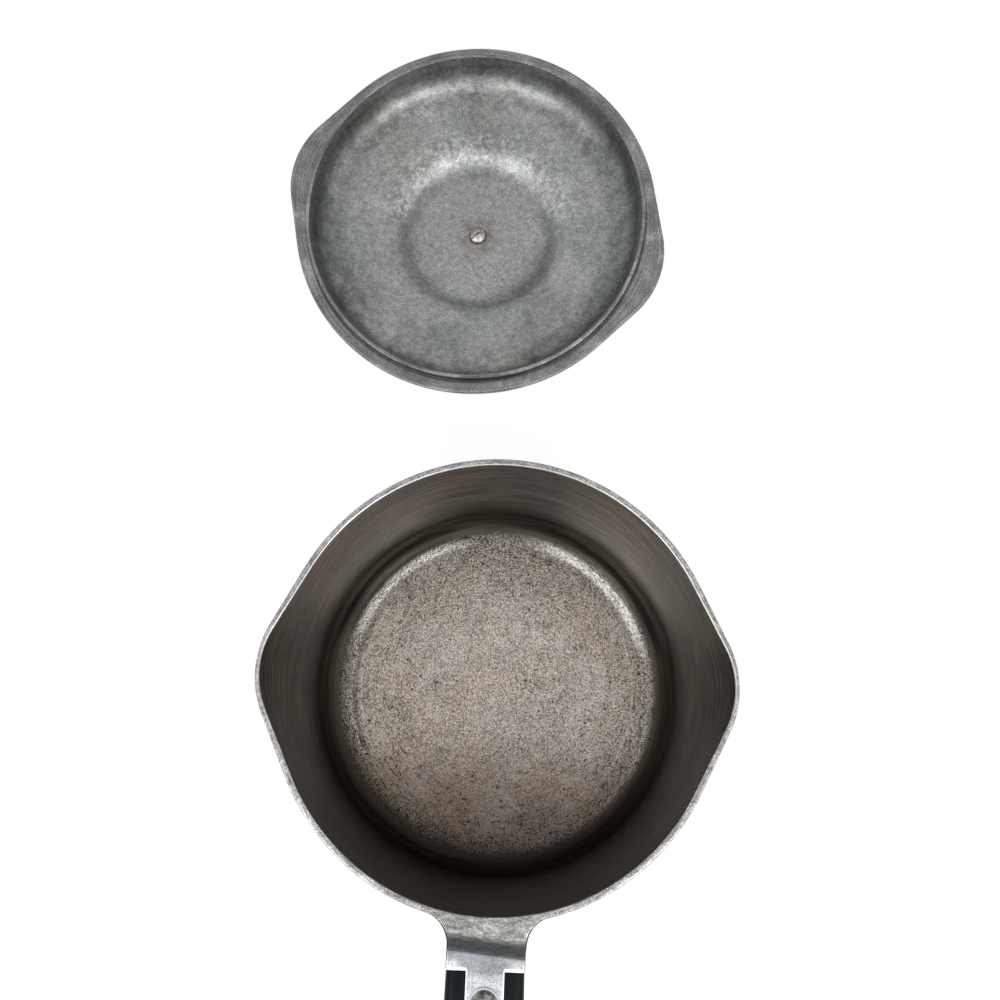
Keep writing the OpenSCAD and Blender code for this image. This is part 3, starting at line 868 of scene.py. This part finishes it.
class PanFields:
    """Places and noises that the pan's floor and wall share."""

    def __init__(self, paint):
        self.x, self.y, z, self.radius = paint.measures()
        self.out = self.radius - MARKS_R
        self.up = z - FLOOR_T
        self.clouds = paint.noise(34.0, 5.0, 0.62)
        self.patches = paint.noise(90.0, 4.0, 0.6)
        self.blots = paint.noise(240.0, 4.0, 0.65)
        self.coarse = paint.noise(600.0, 4.0, 0.7)
        self.grain = paint.noise(2900.0, 1.0, 0.5)
        self.lines = paint.streaks(2.0, 480.0, 3.0, 0.68)
        self.bands = paint.streaks(1.0, 130.0, 3.0, 0.55)
        # 1 at the two far corners, where the floor's edge gets a painted highlight
        self.corner = (abs(self.x) * self.y / (self.radius * self.radius)).band(0.10, 0.46)
        # Painted highlight: speckled near-white on the floor's edge at the two far corners
        bright = self.coarse.band(0.36, 0.48) * self.grain.band(0.36, 0.48, 0.1, 1.0)
        self.painted_glint = self.out.band(-1.8, 0.2) * bright * self.corner


def floor_pits(paint, pan):
    """Pits of three sizes in the floor, more and larger towards its edge."""
    outer = pan.radius.band(20.0, MARKS_R - 0.2)
    small = paint.pits(paint.place, 620.0, outer.between(0.15, 0.27))
    large = paint.pits(paint.place, 260.0, pan.coarse.band(0.42, 0.66, 0.0, 0.30) * outer)
    flat = paint.stretch(paint.place, (1.0, 1.0, 0.0))
    dots = paint.pits(flat, 200.0, pan.blots.band(0.40, 0.58, 0.05, 0.17))
    return small.most(large).most(dots)


def floor_base(paint, pan):
    """The floor's clouds, rings and grain, which is calmer at the near side."""
    calm = pan.y.band(-24.0, -56.0, 0.94, 0.5)
    coat = Coat(pan.clouds.band(*MID), (0.36, 0.285, 0.225), (0.44, 0.40, 0.37))
    coat.stain(pan.patches.band(0.48, 0.7, 0.0, 0.6), (0.31, 0.28, 0.255))
    coat.stain(pan.blots.band(0.50, 0.66, 0.0, 0.55), (0.27, 0.215, 0.165))
    coat.tone(pan.blots.band(0.46, 0.32, 1.0, 1.2))
    coat.vary(pan.patches, 1.13, 0.87)
    coat.vary(paint.streaks(3.0, 420.0, 3.0, 0.7), 0.88, 1.12)
    coat.tone(pan.coarse.band(0.38, 0.62, 0.89, 1.11))
    coat.tone(abs(pan.x).band(20.0, 60.0, 1.0, 1.2))
    coat.tone(pan.y.band(36.0, 48.0, 1.0, 0.8))
    coat.stain(pan.grain.band(0.49, 0.38) * calm, (0.075, 0.056, 0.042))
    coat.stain(pan.grain.band(0.51, 0.62) * calm, (0.86, 0.81, 0.74))
    coat.stain(pan.y.band(-15.0, -60.0), (1.0, 0.93, 0.88), "MULTIPLY")
    coat.stain(pan.x.band(-30.0, -70.0), (1.0, 0.97, 0.93), "MULTIPLY")
    # Painted highlight on the floor's edge at the two far corners
    coat.stain(pan.painted_glint, (1.0, 0.98, 0.89))
    return coat, calm


def floor_coat(paint, pan, pits):
    """The scrubbed floor, with scratched arcs, light lines at its sides, specks, pits and a burnt edge."""
    coat, calm = floor_base(paint, pan)
    arcs = paint.streaks(6.0, 1300.0, 2.0, 0.6).band(0.60, 0.63)
    arcs = arcs * pan.radius.band(26.0, 50.0) * pan.blots.band(0.44, 0.56)
    coat.tone(arcs.fade(0.3))
    side = pan.x / pan.radius
    gap = abs(pan.out + 3.4).band(1.7, 0.4) * side.band(-0.80, -0.93)
    coat.tone((gap * pan.coarse.band(0.4, 0.5, 0.5, 1.0)).fade(0.62))
    for way, inset in ((-1, 1.2), (-1, 6.3), (1, 5.9)):
        line = abs(pan.out + inset).band(0.8, 0.1) * side.band(0.76 * way, 0.95 * way)
        line = line * pan.patches.band(0.40, 0.60, 0.3, 1.0) * pan.coarse.band(0.40, 0.54, 0.15, 0.9)
        coat.stain(line, (0.85, 0.84, 0.78))
    specks = pan.grain.band(0.52, 0.42) * pan.out.band(-8.2, 0.3)
    specks = specks * pan.corner.band(0.0, 1.0, 0.7, 0.35) * calm
    coat.stain(specks, (0.05, 0.038, 0.028))
    coat.stain(pits * 0.85, (0.03, 0.024, 0.018))
    edge = pan.out + pan.grain.band(*MID, 2.4, -2.4) + pan.x.band(-60.0, 60.0, 2.2, -0.6)
    edge = edge.band(pan.corner.between(-4.6, 1.6), pan.corner.between(8.3, 5.4))
    coat.tone(edge.fade(0.1))
    return coat


def wall_coat(paint, pan):
    """The brown-grey wall, with brush lines all round it; its dark colour is partly its own and partly
    painted shade.
    """
    coat = Coat(pan.clouds.band(0.36, 0.66), (0.072, 0.068, 0.063), (0.115, 0.095, 0.076))
    coat.tone(pan.lines.band(0.42, 0.60, 0.45, 1.58))
    coat.vary(pan.grain, 0.86, 1.14)
    coat.tone(abs(pan.x).band(70.0, 86.0, 1.0, 0.84))
    coat.tone(pan.bands.band(0.34, 0.66, 0.8, 1.2))
    coat.tone(paint.streaks(5.0, 1100.0, 2.0, 0.6).band(0.58, 0.63, 1.0, 0.4))
    # Painted highlight: the wall lighter at the two far corners
    coat.tone(pan.corner * 0.28 + 1.0)
    return coat


def pan_inside_material():
    """Dark wall, partly painted shade, and scrubbed floor, with burnt residue where they meet, a painted
    shadow at the near side and painted highlights at the two far corners.
    """
    paint = Paint("pan_inside", Metallic=0.9)
    pan = PanFields(paint)
    pits = floor_pits(paint, pan)
    on_floor = pan.up.band(0.8, 3.5, 1.0, 0.0)
    coat = Coat(on_floor, wall_coat(paint, pan), floor_coat(paint, pan, pits))
    burnt = pan.up.band(0.3, 1.6) * pan.up.band(47.0, 7.0) * pan.bands.band(0.2, 0.5, 0.75, 1.0)
    # The burnt dirt is kept thinner on the wall at the two far corners, as part of their painted highlight
    burnt = burnt * pan.out.band(9.8, 12.8).between(1.0, pan.corner.fade(0.5))
    coat.stain(burnt * 0.8, (0.052, 0.041, 0.030))
    # Painted shade: darker just past the floor's edge at the two far corners, which narrows their
    # highlights
    corner_shade = pan.out.band(2.8, 4.6) * pan.out.band(11.6, 9.6) * pan.grain.band(*MID, 1.0, 0.8)
    coat.tone((corner_shade * pan.corner).fade(0.3))
    # Painted shadow of the near wall: floor and wall darker towards the near side
    coat.tone(pan.y.band(-12.0, -80.0, 1.0, 0.46))
    roughness = on_floor.between(pan.lines.band(*WIDE, 0.34, 0.5), pan.grain.band(*WIDE, 0.36, 0.52))
    roughness = roughness - pan.painted_glint * 0.09
    rise = pan.out.band(-1.4, 3.0) * pan.corner
    height = pan.lines * on_floor.between(0.5, 0.15) + pan.grain * 0.5 - pits + rise * 11.0
    return paint.finish(coat, roughness, height, 0.5, 0.06)


def rim_material():
    """The rim: filed cast aluminium with fine dark grains and lines along it, and on its inner edge a
    painted highlight at the far side and painted shade at the near side.
    """
    paint = Paint("pan_rim", Metallic=1.0)
    x, y, _, radius = paint.measures()
    clouds = paint.noise(60.0, 5.0, 0.65)
    mottle = paint.noise(420.0, 4.0, 0.7)
    grain = paint.noise(1900.0, 2.0, 0.6)
    lines = paint.streaks(9.0, 2000.0, 3.0, 0.7)
    coat = Coat(clouds.band(*WIDE), (0.28, 0.28, 0.275), (0.40, 0.40, 0.39))
    coat.vary(mottle, 1.2, 0.8)
    coat.tone(lines.band(0.38, 0.62, 0.72, 1.28))
    coat.vary(grain, 0.6, 1.35)
    facing_x, facing_y = paint.facing()[:2]
    inward = ((facing_x * x + facing_y * y) / radius).band(-0.2, -0.6)
    # Painted highlight where the inner edge faces the lamps, painted shade where it faces away from them
    coat.stain(inward * facing_y.band(0.35, -0.1, 0.0, 0.8), (0.54, 0.54, 0.525))
    coat.tone((inward * facing_y.band(0.2, 0.5)).fade(0.25))
    return paint.finish(coat, grain.band(*WIDE, 0.36, 0.52), lines * 0.5 + grain * 0.5, 0.6, 0.08)


def bracket_material():
    """The bracket: frosted level part, brushed step painted dark as shade, blue-grey tang with painted
    highlights on its edges and painted shade on its rounded sides.
    """
    paint = Paint("pan_bracket", Metallic=1.0)
    x, y, z = paint.measures()[:3]
    mottle = paint.noise(1.0, 4.0, 0.75, vector=paint.stretch(paint.place, (380.0, 820.0, 520.0)))
    brush = paint.noise(1.0, 3.0, 0.7, vector=paint.stretch(paint.place, (180.0, 1500.0, 1500.0)))
    grain = paint.noise(2100.0, 2.0, 0.7)
    clouds = paint.noise(140.0, 4.0, 0.6)
    run = y * -1.0 - x * STEP_SKEW
    past = y * -1.0 - SEAT_S
    reach = abs(x)
    stem, neck = STEM_W / 2, NECK_W / 2

    tang = Coat(past.band(-1.0, 3.0), (0.28, 0.295, 0.315), (0.53, 0.57, 0.60))
    arms = reach.band(stem - 0.1, stem + 4.9) * past.band(-5.5, -2.0)
    tang.stain(arms * mottle.band(0.30, 0.60, 0.3, 0.9), (0.66, 0.665, 0.67))
    flat = Coat(mottle.band(0.40, 0.62), (0.185, 0.186, 0.18), (0.40, 0.396, 0.375))
    coat = Coat(z.band(TANG_Z + 1.0, TANG_Z - 0.1), flat, tang)
    coat.tone(clouds.band(0.35, 0.65, 0.84, 1.16))
    coat.vary(grain, 0.74, 1.26)
    # Painted shade: the steep step gets a near-black brushed colour
    step = run.band(FLAT_END + 0.9, FLAT_END + 5.3) * run.band(STEP_END + 1.1, STEP_END - 0.1)
    dark = Coat(brush.band(*MID), (0.0372, 0.0396, 0.0396), (0.093, 0.099, 0.099))
    coat.stain(step * 0.95, dark)

    # Painted highlights: near-white lines along the stem's sides and the bar's front edge
    side = reach.band(stem - 1.0, stem - 0.5) * past.band(-0.8, 0.0)
    front = past.band(-1.6, -0.8) * reach.band(stem - 0.8, stem) * reach.band(neck - 0.3, neck - 0.9)
    edge_glint = side.most(front) * z.band(TANG_Z - 2.5, TANG_Z - 1.2)
    coat.stain(edge_glint * 0.9, (0.86, 0.87, 0.88))
    facing_x, _, facing_z = paint.facing()
    # Painted shade on surfaces that face sideways and on the tilted part over the rim
    edge = facing_z.band(0.985, 0.80) * run.band(FLAT_END, FLAT_END - 0.7)
    edge = edge.most(abs(facing_x).band(0.14, 0.5)) * (1.0 - edge_glint)
    coat.tone(edge.fade(0.14))
    roughness = step.between(grain.band(*WIDE, 0.36, 0.52), 0.66)
    return paint.finish(coat, roughness, mottle * 0.6 + grain * 0.4, 0.6, 0.08)


def pan_outside_material():
    """Satin outside with faint lines all round and a darkened bottom."""
    paint = Paint("pan_outside", Metallic=1.0)
    z = paint.measures()[2]
    lines = paint.streaks(1.5, 1400.0, 4.0, 0.65)
    clouds = paint.noise(30.0, 5.0, 0.6)
    grain = paint.noise(700.0, 3.0, 0.7)
    coat = Coat(clouds.band(*WIDE), (0.36, 0.36, 0.355), (0.47, 0.47, 0.465))
    coat.stain(grain.band(0.55, 0.75, 0.0, 0.35), (0.2, 0.19, 0.18))
    coat.stain(z.band(22.0, 2.0) * clouds.band(0.25, 0.6, 0.45, 1.0), (0.17, 0.145, 0.12))
    return paint.finish(coat, lines.band(*WIDE, 0.30, 0.44), lines * 0.7 + grain * 0.3, 0.4, 0.05)


def lid_inside_material():
    """The hollow side of the lid: grey and speckled, with clouds, a dirty ring that is partly painted
    shade, worn frost that is partly a painted highlight, and painted shade on the flanks of the shoulder
    and on the steep wall by the lip.
    """
    paint = Paint("lid_inside", on_lid=True, Metallic=0.9)
    z, radius = paint.measures()[2:]
    table_x, table_y = paint.measures(paint.table)[:2]
    out = radius - PLATEAU_R
    inset = radius - LIP_INNER_R
    clouds = paint.noise(34.0, 5.0, 0.62)
    tint = paint.noise(22.0, 3.0, 0.55, 0.6)
    grain = paint.noise(1400.0, 3.0, 0.75)
    mottle = paint.noise(330.0, 5.0, 0.7)
    blots = paint.noise(120.0, 5.0, 0.7)

    coat = Coat(clouds.band(0.34, 0.66), (0.195, 0.20, 0.197), (0.30, 0.305, 0.30))
    coat.stain(tint.band(0.5, 0.66, 0.0, 0.45), (0.21, 0.245, 0.245))
    coat.stain(tint.band(0.46, 0.32, 0.0, 0.45), (0.27, 0.25, 0.225))
    coat.stain(out.band(2.5, -3.5, 0.0, 0.7), (0.30, 0.296, 0.292))
    far = table_y.band(236.0, 262.0)
    # Partly dirt in the plateau's corner and partly painted shade: on the near side the ring sits further
    # out and is darker
    ring = abs(out - far.between(6.7, 3.0)).band(6.2, 0.0)
    coat.tone(ring.fade(far.between(0.72, 0.88)))
    # Pale frost, partly real and partly a painted highlight: four times stronger on the far side, where
    # the light falls
    frost_and_glint = out.band(5.0, 9.0) * out.band(28.5, 13.5) * far.band(0.0, 1.0, 0.25, 1.0)
    frost_and_glint = frost_and_glint * mottle.band(0.38, 0.62, 0.2, 1.0) * blots.band(0.40, 0.58, 0.1, 1.0)
    coat.stain(frost_and_glint * 0.6, (0.50, 0.51, 0.50))
    coat.stain(blots.band(0.56, 0.66, 0.0, 0.5), (0.15, 0.155, 0.155))

    # Painted shade on the shoulder's flanks, away from where its highlight is centred
    flank = abs(table_x + 33.0).band(22.0, 58.0) * inset.band(-20.2, -10.2) * inset.band(0.3, -2.7)
    coat.tone(flank.fade(0.7))
    coat.vary(mottle, 0.84, 1.18)
    coat.vary(grain, 0.72, 1.28)
    shoulder = inset.band(-20.2, -12.2) * inset.band(-0.2, -4.2)
    coat.tone(shoulder.between(1.0, blots.band(0.40, 0.58, 0.78, 1.14)))
    from_screw = radius - SCREW_HEAD_D / 2
    dirt_and_shade = from_screw.band(10.7, 0.2) * blots.band(0.40, 0.60, 0.2, 1.0)
    coat.stain(dirt_and_shade.most(from_screw.band(1.5, 0.3)) * 0.7, (0.105, 0.085, 0.065))
    # Painted shade: darker on the steep wall next to the lip
    coat.tone(z.band(9.0, -1.0, 1.0, 0.76))
    height = mottle * shoulder.between(0.5, 1.5) + grain * 0.5
    return paint.finish(coat, mottle.band(*WIDE, 0.40, 0.54), height, 0.6, 0.06)


def lid_flange_material():
    """Flange and lip, with fine lines that run round them and pale worn spots."""
    paint = Paint("lid_flange", on_lid=True, Metallic=1.0)
    z, radius = paint.measures()[2:]
    lines = paint.streaks(2.0, 2400.0, 3.0, 0.7)
    clouds = paint.noise(60.0, 6.0, 0.75)
    grain = paint.noise(1300.0, 3.0, 0.75)
    coat = Coat(clouds.band(*WIDE), (0.135, 0.137, 0.134), (0.26, 0.263, 0.257))
    coat.tone(lines.band(0.38, 0.62, 0.74, 1.26))
    coat.tone(grain.band(0.38, 0.62, 0.7, 1.3))
    coat.stain(clouds.band(0.56, 0.66) * grain.band(0.36, 0.56, 0.3, 0.8), (0.38, 0.38, 0.37))
    root = radius.band(LIP_OUTER_R + 2.0, LIP_OUTER_R + 0.6) * z.band(0.8 - LIP_H, 2.0 - LIP_H)
    coat.tone(root.fade(0.4))
    return paint.finish(coat, lines.band(*WIDE, 0.36, 0.5), lines * 0.6 + grain * 0.4, 0.5, 0.05)


def lid_outside_material():
    """Bare cast aluminium with a mottled tone, dark specks and a fine grain."""
    paint = Paint("lid_outside", Metallic=1.0)
    clouds = paint.noise(60.0, 5.0, 0.65)
    mottle = paint.noise(420.0, 4.0, 0.7)
    grain = paint.noise(1300.0, 3.0, 0.75)
    coat = Coat(clouds.band(*WIDE), (0.34, 0.34, 0.335), (0.45, 0.45, 0.44))
    coat.stain(mottle.band(0.52, 0.66, 0.0, 0.75), (0.22, 0.22, 0.215))
    coat.vary(grain, 0.75, 1.22)
    return paint.finish(coat, grain.band(*WIDE, 0.34, 0.48), mottle * 0.6 + grain * 0.4, 0.6, 0.05)


def phenolic_material():
    """Black moulded plastic, slightly blue, with a fine worn haze."""
    paint = Paint("phenolic", IOR=1.5, Specular_IOR_Level=0.07)
    haze = paint.noise(90.0, 4.0, 0.6)
    grain = paint.noise(1400.0, 2.0, 0.6)
    coat = Coat(haze.band(0.35, 0.7), (0.0045, 0.0065, 0.0075), (0.0085, 0.011, 0.0125))
    return paint.finish(coat, haze.band(*WIDE, 0.34, 0.48), grain, 0.25, 0.02)


def plating(paint, low, high):
    """The cloudy colour and the fine grain of plated or turned metal."""
    coat = Coat(paint.noise(500.0, 4.0, 0.65).band(0.35, 0.7), low, high)
    return coat, paint.noise(2500.0, 3.0, 0.7)


def metal_material(name, low, high, rough_low, rough_high):
    """Dull metal between two colours."""
    paint = Paint(name, Metallic=1.0)
    coat, grain = plating(paint, low, high)
    return paint.finish(coat, grain.band(*WIDE, rough_low, rough_high), grain, 0.35, 0.02)


def screw_material():
    """Dull steel with a painted shadow along one side of the slot."""
    paint = Paint("screw_steel", on_lid=True, Metallic=1.0)
    x, y = paint.measures()[:2]
    coat, grain = plating(paint, (0.27, 0.26, 0.235), (0.46, 0.45, 0.42))
    across = y * math.cos(SLOT_TURN) - x * math.sin(SLOT_TURN)
    # Painted shadow of the slot's wall, along one side of the slot
    dirt_and_shade = across.band(-0.1, 0.1) * across.band(0.7, 0.5)
    coat.stain(dirt_and_shade, (0.03, 0.028, 0.025))
    return paint.finish(coat, grain.band(*WIDE, 0.42, 0.54), grain, 0.35, 0.02)


def make_materials():
    """All materials, by name."""
    return {
        "pan_inside": pan_inside_material(),
        "pan_rim": rim_material(),
        "pan_bracket": bracket_material(),
        "pan_outside": pan_outside_material(),
        "lid_inside": lid_inside_material(),
        "lid_flange": lid_flange_material(),
        "lid_outside": lid_outside_material(),
        "phenolic": phenolic_material(),
        "steel": metal_material("steel", (0.50, 0.51, 0.52), (0.66, 0.67, 0.68), 0.28, 0.42),
        "bolt_steel": metal_material("bolt_steel", (0.085, 0.09, 0.09), (0.42, 0.43, 0.42), 0.34, 0.46),
        "screw_steel": screw_material(),
        "brass": metal_material("brass", (0.52, 0.38, 0.16), (0.66, 0.50, 0.23), 0.28, 0.42),
    }


# Stage


def floor_stage():
    """A pale floor that reads as white and keeps a faint shadow."""
    half, drop = 4.0, 0.0004
    corners = [(half * x, half * y, -drop) for x, y in ((-1, -1), (1, -1), (1, 1), (-1, 1))]
    mesh = bpy.data.meshes.new("floor")
    mesh.from_pydata(corners, [], [(0, 1, 2, 3)])
    floor = linked("floor", mesh)
    material = bpy.data.materials.new("floor_paint")
    material.use_nodes = True
    tree = material.node_tree
    tree.nodes.clear()
    white = shade(tree, "ShaderNodeEmission", Color=(1.0, 1.0, 1.0, 1.0), Strength=0.9)
    matte = shade(tree, "ShaderNodeBsdfDiffuse", Color=(0.16, 0.16, 0.16, 1.0))
    pale = shade(tree, "ShaderNodeBsdfDiffuse", Color=(0.7, 0.7, 0.7, 1.0))
    both = shade(tree, "ShaderNodeAddShader", white.outputs[0], matte.outputs[0])
    pick = shade(tree, "ShaderNodeMixShader", seen_rays(tree), pale.outputs[0], both.outputs[0])
    shade(tree, "ShaderNodeOutputMaterial", pick.outputs[0])
    mesh.materials.append(material)


def shade(tree, kind, *links, **constants):
    """A new node with outputs linked to its first inputs and plain values on others."""
    node = tree.nodes.new(kind)
    for socket, link in zip(node.inputs, links):
        tree.links.new(link, socket)
    for socket, value in constants.items():
        node.inputs[socket].default_value = value
    return node


def seen_rays(tree):
    """1 for rays that show the background as it is: from the camera, and by gloss or glass."""
    rays = tree.nodes.new("ShaderNodeLightPath")
    value = rays.outputs["Is Camera Ray"]
    for name in ("Is Glossy Ray", "Is Transmission Ray"):
        either = shade(tree, "ShaderNodeMath", value, rays.outputs[name])
        either.operation = "MAXIMUM"
        value = either.outputs[0]
    return value


def world_light(strength):
    """An even studio, white where it is seen and dimmer as a light."""
    world = bpy.data.worlds.new("studio")
    bpy.context.scene.world = world
    world.use_nodes = True
    tree = world.node_tree
    back = tree.nodes["Background"]
    power = shade(tree, "ShaderNodeMapRange", seen_rays(tree))
    power.inputs["To Min"].default_value = strength
    tree.links.new(power.outputs[0], back.inputs["Strength"])
    back.inputs["Color"].default_value = (1.0, 1.0, 1.0, 1.0)


def soft_light(name, place, aim, size, power):
    """A square soft light that points at a place."""
    lamp = bpy.data.lights.new(name, "AREA")
    lamp.shape = "SQUARE"
    lamp.size = size
    lamp.energy = power
    obj = linked(name, lamp)
    obj.location = place
    obj.rotation_euler = (Vector(aim) - Vector(place)).to_track_quat("-Z", "Y").to_euler()


def photo_camera():
    """The camera as fitted to the outlines of the pan and the lid."""
    data = bpy.data.cameras.new("camera")
    data.sensor_width = 36.0
    data.lens = 32.29
    data.clip_start = 0.01
    camera = linked("camera", data)
    camera.location = (-0.00125, -0.020, 0.4653)
    camera.rotation_euler = (math.radians(14.27), math.radians(-0.485), math.radians(2.36))
    bpy.context.scene.camera = camera


photo_camera()
MATERIALS = make_materials()
pan_body()
handle_grip()
handle_bolt()
washer("head_washer", "bolt_washer", "pan", BOLT_PLACE, TANG_Z, WASHER_D, BOLT_HOLE_D, WASHER_T)
washer("under_washer", "nut_washer", "pan", BOLT_PLACE, NUT_Z + NUT_H, WASHER_D, BOLT_HOLE_D, WASHER_T)
lid_shell()
lid_knob()
lid_washer = (LID_TOP_Z, SEAT_WASHER_D, SCREW_HOLE_D, SEAT_WASHER_T)
washer("knob_seat_washer", "knob_washer", "lid", LID_PLACE, *lid_washer)
knob_screw()
for node, metal in (("handle_nut", "steel"), ("knob_insert", "brass")):
    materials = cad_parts[node].data.materials
    materials.clear()
    materials.append(MATERIALS[metal])

floor_stage()
world_light(0.45)
soft_light("left_light", (-0.75, -0.75, 0.95), (0, 0.08, 0.03), 0.5, 9.0)
soft_light("right_light", (0.75, -0.75, 0.95), (0, 0.08, 0.03), 0.5, 10.0)

bpy.context.scene.view_settings.view_transform = "Standard"
